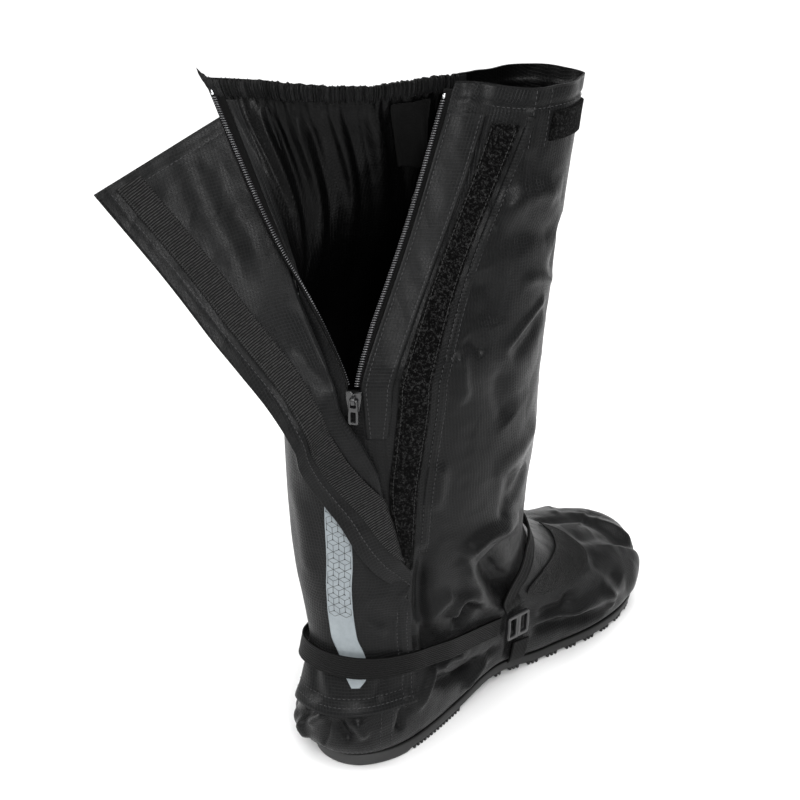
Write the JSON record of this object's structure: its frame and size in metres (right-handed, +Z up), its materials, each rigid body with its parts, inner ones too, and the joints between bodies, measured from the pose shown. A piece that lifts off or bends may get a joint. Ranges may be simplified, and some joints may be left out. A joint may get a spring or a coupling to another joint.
{
  "type": "rain overboot",
  "caption": "Knee-high waterproof overboot for the left foot, with a rubber sole, an open rear zip, a storm flap and an ankle strap with buckle.",
  "frame": {"origin": "on the ground under the middle of the heel, on the sole's flat underside", "axes": "+Z up, +Y towards the toe, +X towards the medial side of this left boot"},
  "size_m": [0.195, 0.3683, 0.4256],
  "materials": {
    "nylon": "satin ripstop weave",
    "rubber": "matt",
    "tape": "hook and loop",
    "webbing": "ribbed webbing",
    "zip": "glossy",
    "buckle": "satin",
    "metal": "bright",
    "patch": "fine grain",
    "reflective": "silver grey reflective film"
  },
  "bodies": {
    "boot": {"upper": "nylon", "outsole": "rubber", "rear_flap": "nylon", "loop_strip": "tape", "hook_strip": "tape", "zip_placket": "nylon", "collar_patch": "tape", "inner_tab": "tape", "zip_chain_left": "zip", "zip_chain_right": "zip", "zip_stop_left": "metal", "zip_stop_right": "metal", "zip_slider": "zip", "reflective_stripe": "reflective", "ankle_strap": "webbing", "instep_strap": "webbing", "anchor_tab": "webbing", "ankle_buckle": "buckle", "instep_patch": "patch"},
    "pull": {"zip_pull": "zip"}
  },
  "joints": [
    {"name": "zip_pull_swing", "type": "hinge", "parent": "boot", "child": "pull", "pos_m": [0.01346, -0.02674, 0.2572], "axis": [-0.8603, -0.5098, 0], "range_deg": [0, 150]}
  ]
}
